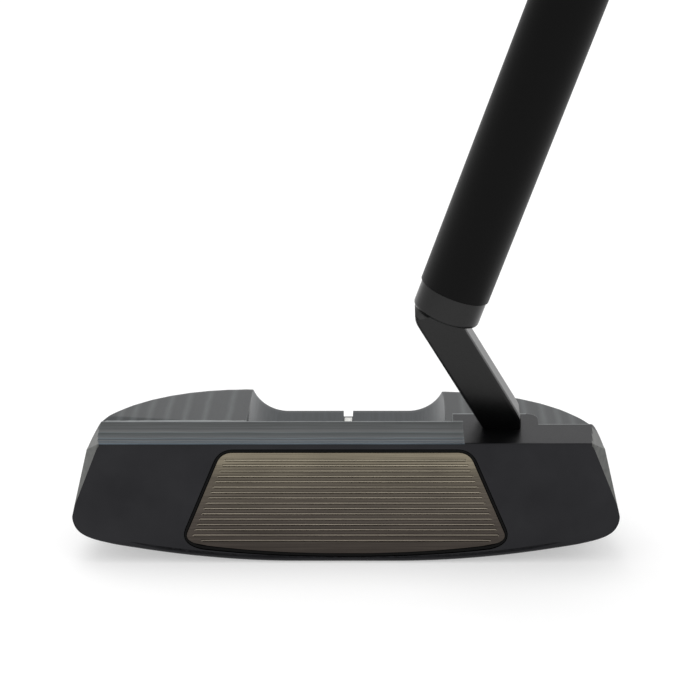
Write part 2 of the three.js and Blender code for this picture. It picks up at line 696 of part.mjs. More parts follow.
function finish(color, metalness, roughness) {
  return new THREE.MeshStandardMaterial({ color, metalness, roughness });
}


const ANODISED = finish(0x2a2c30, 0.8, 0.42);
const BRONZE = finish(0x77695a, 0.95, 0.38);
const ELASTOMER = finish(0x0b0b0c, 0, 0.75);
const PAINT = finish(0xf2f2ee, 0, 0.5);
const BLACK_STEEL = finish(0x2b2b2c, 0.85, 0.38);
const SATIN_STEEL = finish(0x8e8f91, 0.95, 0.35);
const MATT_BLACK = finish(0x161718, 0.1, 0.6);
const TAPE = finish(0xd8d3c4, 0, 0.8);
const FOAM = finish(0x3a3a3c, 0, 0.9);
const SKIN = finish(0x18191b, 0, 0.7);
const RUBBER = finish(0x121213, 0, 0.8);

function node(name, shape, material) {
  const geometry = shape instanceof THREE.BufferGeometry ? shape : toGeometry(shape);
  const mesh = new THREE.Mesh(geometry, material);
  mesh.name = name;
  return mesh;
}

const head = new THREE.Group();
head.add(node('head_body', headBody(), ANODISED));
head.add(node('insert_cradle', insertCradle(), ELASTOMER));
head.add(node('face_insert', faceInsert(), BRONZE));
head.add(node('sight_line_paint', sightPaint(), PAINT));
head.add(node('slant_neck', slantNeck(), BLACK_STEEL));
head.add(node('neck_screw', neckScrew(), SATIN_STEEL));
head.add(node('sole_plate', solePlate(), SATIN_STEEL));
plateScrewPlaces().forEach((place, i) => {
  head.add(node(`sole_plate_screw_${i + 1}`, plateScrew(place), BLACK_STEEL));
});
for (const [name, side] of [['toe', -1], ['heel', 1]]) {
  head.add(node(`${name}_sole_weight`, soleWeight(side), SATIN_STEEL));
  head.add(node(`${name}_weight_washer`, weightWasher(side), ELASTOMER));
}

const shaft = new THREE.Group();
shaft.position.set(AIM_X, fromEdge(AXIS_DEPTH), 0);
shaft.rotation.y = SHAFT_TILT;
shaft.add(node('shaft_tube', shaftTube(), MATT_BLACK));
shaft.add(node('grip_tape', gripTape(), TAPE));
shaft.add(node('grip_core', gripCore(), FOAM));
shaft.add(node('grip_skin', gripSkin(), SKIN));
shaft.add(node('grip_end_cap', gripCap(), RUBBER));
shaft.add(node('cap_plug', capPlug(), SATIN_STEEL));

const group = new THREE.Group();
group.add(head, shaft);

export default group;
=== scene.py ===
# A mallet putter, put together as it is on the bench: milled head, face insert, slant neck,
# sole plate and weights, shaft, grip. Shapes are in millimetres and go to metres in the mesh.
import math

import bmesh
import bpy
import numpy as np
from mathutils import Matrix, Vector


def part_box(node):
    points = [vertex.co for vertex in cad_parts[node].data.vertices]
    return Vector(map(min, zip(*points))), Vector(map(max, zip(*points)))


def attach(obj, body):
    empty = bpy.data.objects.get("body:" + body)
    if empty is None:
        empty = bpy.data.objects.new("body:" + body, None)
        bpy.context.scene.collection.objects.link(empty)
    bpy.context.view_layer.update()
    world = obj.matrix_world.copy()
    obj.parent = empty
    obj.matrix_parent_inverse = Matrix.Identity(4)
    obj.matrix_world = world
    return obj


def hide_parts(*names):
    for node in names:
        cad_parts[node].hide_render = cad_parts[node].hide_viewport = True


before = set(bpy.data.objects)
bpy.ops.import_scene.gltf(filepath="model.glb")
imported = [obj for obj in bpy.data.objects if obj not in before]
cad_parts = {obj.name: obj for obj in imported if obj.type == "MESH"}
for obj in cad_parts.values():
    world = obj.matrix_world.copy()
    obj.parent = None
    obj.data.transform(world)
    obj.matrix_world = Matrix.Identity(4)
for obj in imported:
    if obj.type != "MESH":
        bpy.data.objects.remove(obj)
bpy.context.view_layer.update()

MM = 0.001


# --- Head body ----------------------------------------------------------------------------
# One billet of aluminium, milled all over with ball-nosed cutters, bead-blasted on the face,
# pad and sides, then anodised black. Every other piece of the head is fixed to it.

def node_box(name):
    """Lowest and highest corner of a CAD node, in millimetres."""
    low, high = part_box(name)
    return np.array(low) / MM, np.array(high) / MM


HEAD_LOW, HEAD_HIGH = node_box("head_body")
HALF_WIDTH = HEAD_HIGH[0] - 0.01
TOP_Z = HEAD_HIGH[2] - 0.005
EDGE_Y = -10.0               # the leading edge, before it is rounded
DEPTH = HEAD_HIGH[1] - EDGE_Y - 0.02
WIDEST_Z = 10.0
TOP_SHARE = 0.935            # width at the top over width at the widest level
CORNER_TUCK = 0.39
CORNER_BLEND = 2.2
SIDE_DEPTH = 2.0             # where the side starts to curve round to the back
REAR_HALF = 21.2
SIDE_FULLNESS, REAR_FULLNESS = 0.48, 0.63
LOFT = math.tan(math.radians(3))
FLAT_HALF, CAMBER_R = 10.0, 185.0
FLAT_DEPTH, RISE_R = 17.0, 70.0
RIDGE, PAD, BOSS = 13.4, 12.2, 18.3
BOSS_LEFT, BOSS_RIGHT, BOSS_R = 21.9, 39.3, 2.5
SCOOP_END = 24.0
CHANNEL_HALF, CHANNEL_FLOOR_HALF, CHANNEL_R, CHANNEL_FLOOR = 20.5, 12.9, 8.0, 17.7
WING_DROP, WING_SLOPE, WING_SIDE = 0.35, math.tan(math.radians(5.5)), 0.014
SIGHT_HALF, SIGHT_CUT = 1.0, 1.4
FACET_X, FACET_DEPTH, FACET_FOOT_X, FACET_FOOT_Z = 49.5, 6.0, 54.55, 13.1
CHAMFER_X, CHAMFER_DEPTH = 50.06, 9.3


def share_at(z):
    """How much of the widest outline is left at height z: straight draft above, an arc below."""
    above = 1 - (1 - TOP_SHARE) * (z - WIDEST_Z) / (TOP_Z - WIDEST_Z)
    down = np.clip((WIDEST_Z - z) / WIDEST_Z, 0, 1)
    return np.where(z >= WIDEST_Z, above, 1 - CORNER_TUCK * (1 - np.sqrt(1 - down ** 2)))


def rear_curve():
    """Widest outline from the side to the back: a cubic curve whose handles are shares of its
    span."""
    t = np.linspace(0, 1, 200)
    reach_x = REAR_FULLNESS * (HALF_WIDTH - REAR_HALF)
    reach_y = SIDE_FULLNESS * (DEPTH - SIDE_DEPTH)
    xs = np.array([HALF_WIDTH, HALF_WIDTH, REAR_HALF + reach_x, REAR_HALF])
    ys = np.array([SIDE_DEPTH, SIDE_DEPTH + reach_y, DEPTH, DEPTH])
    weights = np.array([(1 - t) ** 3, 3 * t * (1 - t) ** 2, 3 * t ** 2 * (1 - t), t ** 3])
    return (xs @ weights)[::-1], (ys @ weights)[::-1]


CURVE_X, CURVE_Y = rear_curve()


def back_depth(x, z):
    """Depth of the back wall at a place across the head and a height, from the leading edge."""
    share = share_at(z)
    widest = np.interp(np.abs(x) / share, CURVE_X, CURVE_Y)
    return SIDE_DEPTH + (widest - SIDE_DEPTH) * share


def front_depth(x, z):
    """Depth of the front: the lofted face, or the end facet where that lies further back."""
    top = TOP_Z * LOFT
    across = (FACET_DEPTH - top) / (HALF_WIDTH * TOP_SHARE - FACET_X)
    up = (across * (FACET_FOOT_X - FACET_X) + (TOP_Z - FACET_FOOT_Z) * LOFT) / (TOP_Z - FACET_FOOT_Z)
    facet = top + across * (np.abs(x) - FACET_X) + up * (z - TOP_Z)
    return np.maximum(z * LOFT, facet), facet - z * LOFT, up - LOFT


def end_chamfer(x, depth):
    """Height of the slope that falls at 45 degrees from each end of the topline to the side."""
    top = TOP_Z * LOFT
    splay = (CHAMFER_X - FACET_X) / (CHAMFER_DEPTH - top)
    return TOP_Z - (np.abs(x) - FACET_X - splay * (depth - top))


def sole_height(x, depth):
    """The sole: the higher of its heel-to-toe camber and its rise to the back."""
    out = np.clip(np.abs(x) - FLAT_HALF, 0, None)
    back = np.clip(depth - FLAT_DEPTH, 0, None)
    camber = CAMBER_R - np.sqrt(CAMBER_R ** 2 - out ** 2)
    return np.maximum(camber, RISE_R - np.sqrt(RISE_R ** 2 - back ** 2))


def end_arc(x):
    """Height of the round lower end: a quarter ellipse from the sole up to the widest level."""
    arc = np.clip(1 - (1 - np.abs(x) / HALF_WIDTH) / CORNER_TUCK, 0, 1)
    return WIDEST_Z * (1 - np.sqrt(1 - arc ** 2))


def underside(x, depth):
    """Sole or end arc, whichever is higher. Near their meeting it is raised by the square of the
    closeness over four blends, which turns the corner smoothly."""
    arc, sole = end_arc(x), sole_height(x, depth)
    blend = np.clip((np.abs(x) - 42) / 6, 0.001, 1) * CORNER_BLEND
    near = np.clip(blend - np.abs(arc - sole), 0, None)
    return np.maximum(arc, sole) + near ** 2 / (4 * blend)


def scallop(position, pitch, deep):
    """Cutter marks: a row of shallow arcs that meet in cusps."""
    part = np.mod(position / pitch, 1)
    return -deep * (1 - (2 * part - 1) ** 2)


SCOOP_PASSES = np.array([1.9, 3.3, 5.3, 8.5, 12.9])   # where the cutter's passes meet


def topline(x, depth):
    """Topline: flat at the heel, and a shallow scoop in four ball-nosed passes at the toe."""
    low, high = SCOOP_PASSES[0], SCOOP_PASSES[-1]
    whole = np.clip((depth - low) / (high - low), 0, 1)
    step = np.clip(np.searchsorted(SCOOP_PASSES, depth) - 1, 0, 3)
    part = (depth - SCOOP_PASSES[step]) / (SCOOP_PASSES[step + 1] - SCOOP_PASSES[step])
    part = np.clip(part, 0, 1)
    cut = 0.28 * np.sqrt(np.clip(1 - (2 * whole - 1) ** 2, 0, 1)) + 0.09 * (1 - (2 * part - 1) ** 2)
    cut = np.where((depth > low) & (depth < high), cut, 0)
    end = np.clip((SCOOP_END - x) / 0.45, 0, 1)
    return TOP_Z - cut * np.sqrt(1 - (1 - end) ** 2)


def behind_topline(x, depth):
    """Wings: a falling plane with lengthwise cutter marks. Between them the ball-nosed channel
    with the sight groove down its middle."""
    side = np.abs(x)
    wing = TOP_Z - WING_DROP - (depth - RIDGE) * WING_SLOPE - WING_SIDE * x
    wing = np.minimum(wing, TOP_Z) + scallop(x + 0.03 * depth + 1.3, 3.9, 0.045)
    reach = np.clip(side - CHANNEL_FLOOR_HALF, 0, CHANNEL_R)
    channel = CHANNEL_FLOOR + CHANNEL_R - np.sqrt(CHANNEL_R ** 2 - reach ** 2)
    channel = channel - np.where(side < SIGHT_HALF, SIGHT_CUT, 0)
    return np.where(side < CHANNEL_HALF, np.minimum(wing, channel), wing)


def step_depth(x):
    """Where the topline ends: at the ridge, round the boss with its one round corner, at the pad."""
    corner = np.clip(x - (BOSS_RIGHT - BOSS_R), 0, BOSS_R)
    boss = BOSS - BOSS_R + np.sqrt(BOSS_R ** 2 - corner ** 2)
    return np.where(x < BOSS_LEFT, RIDGE + 0.5, np.where(x < BOSS_RIGHT, boss, PAD))


def rounded(a, corner, b, radius, count=4):
    """Points round a corner: a quadratic curve between the points one radius away on each side."""
    to_a, to_b = a - corner, b - corner
    long_a = np.maximum(np.linalg.norm(to_a, axis=0), 1e-6)
    long_b = np.maximum(np.linalg.norm(to_b, axis=0), 1e-6)
    start = corner + to_a * np.minimum(radius / long_a, 0.45)
    end = corner + to_b * np.minimum(radius / long_b, 0.45)
    t = np.linspace(0, 1, count)[:, None, None]
    return start * (1 - t) ** 2 + corner * 2 * t * (1 - t) + end * t ** 2


def stations():
    """Places across the head, closer together at its edges, ends and steps."""
    plain = np.linspace(-FACET_X, FACET_X, 200)
    edges = [1.0, CHANNEL_FLOOR_HALF, CHANNEL_HALF, BOSS_LEFT, SCOOP_END, BOSS_RIGHT]
    near = np.array([-0.25, -0.06, -0.005, 0.005, 0.06, 0.25])
    close = np.concatenate([edge + near for edge in edges])
    ends = FACET_X + (0.9996 * HALF_WIDTH - FACET_X) * np.sin(np.linspace(0, math.pi / 2, 34)[1:])
    wall = np.linspace(CHANNEL_FLOOR_HALF, CHANNEL_HALF, 26)
    right = np.concatenate([close, ends, wall])
    return np.unique(np.round(np.concatenate([plain, right, -right]), 4))


def head_sections():
    """Closed outlines in depth and height, one for each station: front, topline, step, wing,
    back wall and sole, with every corner rounded. Returns depth and height by row and station."""
    x = stations()
    side = np.abs(x) / HALF_WIDTH
    high = np.minimum(TOP_Z, WIDEST_Z + (1 - side) / (1 - TOP_SHARE) * (TOP_Z - WIDEST_Z))
    low = end_arc(x)
    z_grid = low + (high - low) * np.linspace(0, 1, 400)[:, None]
    clear = z_grid - underside(x, back_depth(x, z_grid))
    foot_z = np.take_along_axis(z_grid, np.argmax(clear >= 0, axis=0)[None], 0)[0]
    front_foot_z = underside(x, 0.5 + 0 * x)
    for _ in range(12):
        high = np.minimum(high, np.maximum(end_chamfer(x, front_depth(x, high)[0]), low + 0.01))
    step = np.minimum(step_depth(x), back_depth(x, high) - 0.3)
    front_top = front_depth(x, high)[0]
    step = np.maximum(step, front_top + 0.2)

    over_face, fall = front_depth(x, high)[1], front_depth(x, high)[2]
    meet_z = np.clip(high - np.clip(over_face, 0, None) / fall, front_foot_z, high)
    ease = np.clip((np.abs(x) - FACET_X + 12) / 12, 0, 1)
    middle = front_foot_z + (high - front_foot_z) * (0.5 + 0.5 * ease)
    meet_z = np.where(np.abs(x) > FACET_X, meet_z, middle)
    t = np.linspace(0, 1, 25)[:, None]
    front_z = np.where(t < 0.5, front_foot_z + (meet_z - front_foot_z) * 2 * t,
                       meet_z + (high - meet_z) * (2 * t - 1))
    below = high - np.minimum(0.6, 0.3 * (high - front_foot_z))
    front_z[:-1] = np.minimum(front_z[:-1], below)
    front = np.stack([front_depth(x, front_z)[0], front_z], 1)

    t = np.linspace(0, 1, 60)[:, None]
    top_y = front_top + (step - front_top) * t
    wall_top = np.minimum(TOP_Z, WIDEST_Z + (1 - side) / (1 - TOP_SHARE) * (TOP_Z - WIDEST_Z))
    limit = np.minimum(wall_top, np.maximum(end_chamfer(x, top_y), high))
    top_z = np.minimum(topline(x, top_y), limit)
    top = np.stack([top_y, top_z], 1)

    back_y = back_depth(x, behind_topline(x, back_depth(x, high)).clip(front_foot_z, wall_top))
    t = np.linspace(0, 1, 44)[:, None]
    wing_y = step + 0.12 + (np.maximum(back_y - step - 0.12, 0.02)) * t
    wing_z = np.minimum(behind_topline(x, wing_y), wall_top)
    wing_z = np.minimum(wing_z, np.maximum(end_chamfer(x, wing_y), high))
    wing = np.stack([wing_y, wing_z], 1)

    t = np.linspace(0, 1, 26)[:, None]
    wall_z = wing_z[-1] + (foot_z - wing_z[-1]) * t
    wall = np.stack([back_depth(x, wall_z), wall_z], 1)

    t = np.linspace(0, 1, 44)[:, None]
    sole_y = wall[-1, 0] + (front[0, 0] - wall[-1, 0]) * t
    sole_z = underside(x, sole_y)
    sole = np.stack([sole_y, sole_z], 1)

    rows = [front[1:-1],
            rounded(front[-2], front[-1], top[3], 0.3),
            top[2:-2],
            rounded(top[-3], top[-1], np.stack([step + 0.1, wing_z[0]]), 0.25),
            wing[1:-3],
            rounded(wing[-5], wing[-1], wall[3], 0.45),
            wall[2:-3],
            rounded(wall[-5], wall[-1], sole[3], 0.6),
            sole[2:-3],
            rounded(sole[-6], sole[-1], front[6], 0.7 + 0.9 * np.clip((54 - np.abs(x)) / 12, 0, 1), 7)]
    section = np.concatenate(rows)
    return x, section[:, 0], section[:, 1]


def to_mesh(name, points, faces, smooth_angle=28):
    """A mesh object from points in millimetres, smooth except across edges sharper than an angle."""
    mesh = bpy.data.meshes.new(name)
    mesh.from_pydata((np.asarray(points) * MM).tolist(), [], [list(face) for face in faces])
    build = bmesh.new()
    build.from_mesh(mesh)
    bmesh.ops.remove_doubles(build, verts=build.verts, dist=2e-6)
    bmesh.ops.dissolve_degenerate(build, edges=build.edges, dist=1e-6)
    bmesh.ops.recalc_face_normals(build, faces=build.faces)
    build.to_mesh(mesh)
    build.free()
    piece = bpy.data.objects.new(name, mesh)
    bpy.context.scene.collection.objects.link(piece)
    shade(piece, smooth_angle)
    return piece


def shade(piece, smooth_angle):
    piece.data.shade_smooth()
    piece.data.set_sharp_from_angle(angle=math.radians(smooth_angle))


def tube_faces(rows, columns, closed_rows=True):
    """Quads of a grid whose rows close on themselves, and the two end caps."""
    row, column = np.meshgrid(np.arange(rows if closed_rows else rows - 1), np.arange(columns - 1))
    nxt = (row + 1) % rows
    quads = np.stack([row * columns + column, nxt * columns + column,
                      nxt * columns + column + 1, row * columns + column + 1], -1).reshape(-1, 4)
    first = [r * columns for r in range(rows)]
    last = [r * columns + columns - 1 for r in range(rows)]
    return [tuple(q) for q in quads.tolist()] + [tuple(first[::-1]), tuple(last)]


def cut(piece, cutters):
    """Takes the cutters out of a piece and throws them away."""
    for cutter in cutters:
        tool = piece.modifiers.new("cut", "BOOLEAN")
        tool.operation = "DIFFERENCE"
        tool.solver = "MANIFOLD"
        tool.object = cutter
    graph = bpy.context.evaluated_depsgraph_get()
    made = bpy.data.meshes.new_from_object(piece.evaluated_get(graph))
    piece.modifiers.clear()
    old = piece.data
    piece.data = made
    bpy.data.meshes.remove(old)
    made.materials.clear()
    made.polygons.foreach_set("material_index", np.zeros(len(made.polygons), np.int32))
    for cutter in cutters:
        bpy.data.objects.remove(cutter, do_unlink=True)
    shade(piece, 28)


def prism(outline, low, high):
    """An outline of (across, along) points given depth between two levels."""
    flat = np.asarray(outline)
    count = len(flat)
    levels = np.array([low, high])
    grid = np.concatenate([np.column_stack([flat, np.full(count, level)]) for level in levels])
    faces = [(i, (i + 1) % count, count + (i + 1) % count, count + i) for i in range(count)]
    faces += [tuple(range(count))[::-1], tuple(range(count, 2 * count))]
    return grid, faces


def onto_face(points):
    """Turns (across, up the face, depth into the head) to the club's frame."""
    across, up, depth = np.asarray(points).T
    lean = math.atan(LOFT)
    return np.column_stack([across, EDGE_Y + up * math.sin(lean) + depth * math.cos(lean),
                            up * math.cos(lean) - depth * math.sin(lean)])


INSERT_TOP, INSERT_TOP_HALF = 23.8, 25.0
INSERT_FOOT, INSERT_FOOT_HALF = 4.6, 33.1
INSERT_BOW, INSERT_CORNER = 2.65, 2.4
INSERT_THICK, CRADLE_WALL, CRADLE_FLOOR, FIT = 3.2, 0.45, 1.0, 0.15


def quadratic(a, b, c, count=10):
    t = np.linspace(0, 1, count)[:, None]
    return np.array(a) * (1 - t) ** 2 + np.array(b) * 2 * t * (1 - t) + np.array(c) * t ** 2


def insert_outline(margin):
    """Right half of the insert's edge from the middle of its bowed foot to the middle of its top,
    then the left half: a trapezium with its corners turned by quadratic curves."""
    corner = INSERT_CORNER + margin
    slope = (INSERT_FOOT_HALF - INSERT_TOP_HALF) / (INSERT_TOP - INSERT_FOOT)
    wide = margin * math.hypot(1, slope)
    top, foot = INSERT_TOP + margin, INSERT_FOOT
    top_half, foot_half = INSERT_TOP_HALF + wide - slope * margin, INSERT_FOOT_HALF + wide
    along = corner / math.hypot(1, slope)
    low = foot - INSERT_BOW - margin
    tuck = (foot_half - 1.5 * corner, foot - 0.35 * corner - margin)
    half = np.concatenate([
        quadratic((0, low), (foot_half / 2, low), tuck, 24),
        quadratic(tuck, (foot_half, foot - margin), (foot_half - slope * along, foot + along)),
        quadratic((top_half + slope * along, top - along), (top_half, top), (top_half - corner, top))])
    mirror = half[::-1] * [-1, 1]
    return np.concatenate([half, mirror[:-1]])


PLATE_HALF, PLATE_LOW, PLATE_HIGH, PLATE_CORNER, PLATE_THICK = 25.5, 6.5, 30.0, 4.0, 6.0
WEIGHT_X, WEIGHT_DEPTH, WEIGHT_R = 33.5, 24.0, 5.6
TENON_X, SCREW_HEAD_R, SCREW_SEAT_Z = 31.7, 3.5, 6.0


def circle(x, y, radius, sides=96):
    angle = np.linspace(0, 2 * math.pi, sides, endpoint=False)
    return np.column_stack([x + radius * np.cos(angle), y + radius * np.sin(angle)])


def plate_outline(gap=0.0, sides=64):
    """A rectangle with round corners: a circle whose quarters are pushed apart."""
    ring = circle(0, 0, PLATE_CORNER - gap, sides) + 1e-9
    corner = np.sign(ring) * [PLATE_HALF - PLATE_CORNER, (PLATE_HIGH - PLATE_LOW) / 2 - PLATE_CORNER]
    return ring + corner + [0, EDGE_Y + (PLATE_LOW + PLATE_HIGH) / 2]


def hex_colour(code):
    """sRGB hex to linear colour."""
    part = np.array([int(code[i:i + 2], 16) for i in (1, 3, 5)]) / 255
    linear = np.where(part <= 0.04045, part / 12.92, ((part + 0.055) / 1.055) ** 2.4)
    return (*linear.tolist(), 1.0)


def add_node(material, kind, settings=None, **links):
    """Adds a shader node; a link's value is a socket to join, or a plain value to set."""
    made = material.node_tree.nodes.new(kind)
    for key, value in (settings or {}).items():
        setattr(made, key, value)
    for key, value in links.items():
        socket = made.inputs[int(key[1:])] if key[0] == "n" and key[1:].isdigit() else made.inputs[key.replace("_", " ")]
        if isinstance(value, bpy.types.NodeSocket):
            material.node_tree.links.new(value, socket)
        else:
            socket.default_value = value
    return made


def finish(name, colour, metallic, roughness, **sockets):
    """A material with its Principled shader's sockets set. Returns material and shader."""
    material = bpy.data.materials.new(name)
    material.use_nodes = True
    shader = material.node_tree.nodes["Principled BSDF"]
    shader.inputs["Base Color"].default_value = hex_colour(colour)
    shader.inputs["Metallic"].default_value = metallic
    shader.inputs["Roughness"].default_value = roughness
    for key, value in sockets.items():
        shader.inputs[key.replace("_", " ")].default_value = value
    return material, shader


def ramp(material, factor, stops):
    """A colour ramp through (position, hex colour) stops."""
    made = add_node(material, "ShaderNodeValToRGB", Fac=factor)
    band = made.color_ramp
    while len(band.elements) < len(stops):
        band.elements.new(0.5)
    for element, (place, colour) in zip(band.elements, stops):
        element.position = place
        element.color = hex_colour(colour)
    return made.outputs["Color"]


def millimetres(material):
    """Object coordinates in millimetres."""
    place = add_node(material, "ShaderNodeTexCoord").outputs["Object"]
    scale = add_node(material, "ShaderNodeVectorMath", {"operation": "SCALE"}, n0=place)
    scale.inputs["Scale"].default_value = 1 / MM
    return scale.outputs[0]


def blasted_anodised():
    """Bead-blasted 6061 aluminium under black anodising: fine even grain, soft wide highlights,
    a little cloudiness from handling."""
    material, shader = finish("bead_blasted_black_anodised_aluminium", "#2e2e30", 1.0, 0.38)
    place = millimetres(material)
    grain = add_node(material, "ShaderNodeTexNoise", Vector=place, Scale=3.3, Detail=3.0, Roughness=0.7)
    cloud = add_node(material, "ShaderNodeTexNoise", Vector=place, Scale=0.09, Detail=3.0)
    colour = ramp(material, cloud.outputs["Fac"], [(0.3, "#2a2a2c"), (0.7, "#303032")])
    material.node_tree.links.new(colour, shader.inputs["Base Color"])
    rough = add_node(material, "ShaderNodeMapRange", Value=grain.outputs["Fac"], To_Min=0.33, To_Max=0.45)
    material.node_tree.links.new(rough.outputs[0], shader.inputs["Roughness"])
    bump = add_node(material, "ShaderNodeBump", Height=grain.outputs["Fac"], Strength=0.25, Distance=0.00002)
    material.node_tree.links.new(bump.outputs[0], shader.inputs["Normal"])
    return material


def milled_anodised(name, axis, low, high, stops, feed):
    """The same metal straight off the cutter: bluish grey, with fine feed lines. Its colour is banded
    along one axis by the stops, as painted reflection and painted highlight."""
    material, shader = finish(name, "#36393e", 1.0, 0.36)
    place = millimetres(material)
    parts = add_node(material, "ShaderNodeSeparateXYZ", Vector=place)
    across = add_node(material, "ShaderNodeMath", {"operation": "ABSOLUTE"}, n0=parts.outputs[0])
    along = across.outputs[0] if axis == "across" else parts.outputs[1]
    waver = add_node(material, "ShaderNodeTexNoise", Vector=place, Scale=0.12, Detail=2.0)
    shift = add_node(material, "ShaderNodeMath", {"operation": "MULTIPLY_ADD"}, n0=waver.outputs["Fac"], n1=0.5, n2=along)
    share = add_node(material, "ShaderNodeMapRange", Value=shift.outputs[0], From_Min=low + 0.25, From_Max=high + 0.25)
    painted_bands = ramp(material, share.outputs[0], [((at - low) / (high - low), colour) for at, colour in stops])
    stretch = add_node(material, "ShaderNodeMapping", Vector=place, Scale=feed)
    lines = add_node(material, "ShaderNodeTexNoise", Vector=stretch.outputs[0], Scale=2.0, Detail=4.0)
    shine = add_node(material, "ShaderNodeMapRange", Value=lines.outputs["Fac"], From_Min=0.3, From_Max=0.7, To_Min=0.82, To_Max=1.18)
    colour = add_node(material, "ShaderNodeVectorMath", {"operation": "SCALE"}, n0=painted_bands, Scale=shine.outputs[0])
    material.node_tree.links.new(colour.outputs[0], shader.inputs["Base Color"])
    bump = add_node(material, "ShaderNodeBump", Height=lines.outputs["Fac"], Strength=0.15, Distance=0.00002)
    material.node_tree.links.new(bump.outputs[0], shader.inputs["Normal"])
    return material


# Painted reflection: a light band on each cutter streak across the wings, darker between them, and a lighter channel.
WING_STREAKS = [24.3, 29.3, 33.4, 37.1, 40.8, 43.9, 46.7]
WING_PAINTED_REFLECTION_STOPS = [(0, "#35393c"), (20.3, "#383c3f"), (20.8, "#1c2023")]
for streak in WING_STREAKS:
    WING_PAINTED_REFLECTION_STOPS += [(streak - 0.95, "#1c2124"), (streak, "#434849"), (streak + 0.95, "#1f2427")]

# Pass by pass from the front edge: painted reflection bands, with a painted highlight on the cusps between passes.
TOPLINE_PAINTED_REFLECTION_STOPS = [(1.2, "#5b666e"), (1.7, "#4c565e"), (2.0, "#2c3339"), (2.9, "#343c43"), (3.2, "#5c6870"), (3.5, "#2b3238"),
                 (4.7, "#323a40"), (5.1, "#616b70"), (5.5, "#2b3135"), (7.9, "#3b4142"), (8.4, "#5c6263"), (8.8, "#404344"),
                 (9.8, "#47494a"), (10.3, "#323536"), (10.8, "#46494a"), (12.6, "#4a4c4c"), (13.2, "#3c3e3f"), (13.6, "#666a6b")]
TOPLINE_PAINTED_REFLECTION_STOPS = [(EDGE_Y + at, colour) for at, colour in TOPLINE_PAINTED_REFLECTION_STOPS]

BLASTED = blasted_anodised()
TOPLINE = milled_anodised("ball_milled_black_anodised_topline", "along", EDGE_Y + 1, EDGE_Y + 14, TOPLINE_PAINTED_REFLECTION_STOPS, (0.05, 1.2, 1.0))
WING = milled_anodised("end_milled_black_anodised_wing", "across", 0, 56, WING_PAINTED_REFLECTION_STOPS, (1.2, 0.05, 1.0))
# The end facets get a lighter grey: a painted highlight for the light they catch from the side.
FACET_HIGHLIGHT = milled_anodised("fly_cut_facet_painted_lighter", "across", 0, 56, [(0, "#525351"), (56, "#585957")], (0.6, 0.05, 0.6))
# A pale grey for a thin strip along the topline's back edge: a painted highlight.
EDGE_HIGHLIGHT = milled_anodised("painted_edge_highlight_on_black_anodising", "across", 0, 56, [(0, "#7d8182"), (56, "#868a8b")], (0.2, 0.2, 0.2))


def make_head():
    x, depth, z = head_sections()
    rows, columns = depth.shape
    points = np.stack([np.broadcast_to(x, depth.shape), depth + EDGE_Y, z], -1).reshape(-1, 3)
    head = to_mesh("milled_head", points, tube_faces(rows, columns))
    pocket, faces = prism(insert_outline(CRADLE_WALL + FIT), -3, INSERT_THICK + CRADLE_FLOOR + 2 * FIT)
    parts = [(onto_face(pocket), faces), prism(plate_outline(), -3, PLATE_THICK + FIT)]
    parts += [prism(circle(side * WEIGHT_X, EDGE_Y + WEIGHT_DEPTH, WEIGHT_R + FIT), -3, 12) for side in (-1, 1)]
    parts += [prism(circle(TENON_X, EDGE_Y + 13.5, SCREW_HEAD_R + FIT), -3, SCREW_SEAT_Z)]
    starts = np.cumsum([0] + [len(points) for points, _ in parts])
    points = np.concatenate([points for points, _ in parts])
    faces = [tuple(int(start + i) for i in face) for start, (_, part) in zip(starts, parts) for face in part]
    cut(head, [to_mesh("pockets", points, faces)])
    return head


head = make_head()
for surface in (BLASTED, TOPLINE, WING, FACET_HIGHLIGHT, EDGE_HIGHLIGHT):
    head.data.materials.append(surface)


def mark_milled(piece):
    """Gives each face its finish by where it is and which way it looks: blasted, topline passes,
    wings and channel, end facets and a thin strip along the topline's back edge, both painted highlight."""
    mesh = piece.data
    count = len(mesh.polygons)
    centre, normal = np.empty(3 * count), np.empty(3 * count)
    mesh.polygons.foreach_get("center", centre)
    mesh.polygons.foreach_get("normal", normal)
    x, y, z = centre.reshape(-1, 3).T / MM
    nx, ny, nz = normal.reshape(-1, 3).T
    depth = y - EDGE_Y
    side = np.abs(x)
    above = z > CHANNEL_FLOOR - 2
    step = step_depth(x)
    scoop = (x < SCOOP_END) & (depth > 1.25) & (depth < RIDGE + 0.6) & (nz > 0.3) & (z > TOP_Z - 1)
    wing = above & (depth > step) & ((nz > 0.3) | ((side < CHANNEL_HALF + 0.1) & (depth < DEPTH - 4)))
    # End facets, which get the lighter grey of a painted highlight.
    facet = (side > FACET_X - 0.05) & (z > FACET_FOOT_Z - 1) & (np.abs(nx) > 0.5)
    facet = facet & ((ny < -0.3) | (nz > 0.5)) & (depth < CHAMFER_DEPTH + 1)
    # A thin strip along the step and the boss's left edge, which gets the pale grey of a painted highlight.
    rim = (np.abs(depth - step) < 0.42) & (z > TOP_Z - 0.16) & (nz > 0.2) & (side < FACET_X)
    rim = rim | ((np.abs(x - BOSS_LEFT) < 0.06) & (depth > RIDGE + 0.5) & (depth < BOSS) & above)
    kind = np.select([rim, facet, scoop, wing], [4, 3, 1, 2], 0)
    mesh.polygons.foreach_set("material_index", kind.astype(np.int32))


mark_milled(head)
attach(head, "root")
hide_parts("head_body")


# --- Insert cradle ------------------------------------------------------------------------
# An injection-moulded elastomer tray. Its rim shows as the thin black line round the insert.

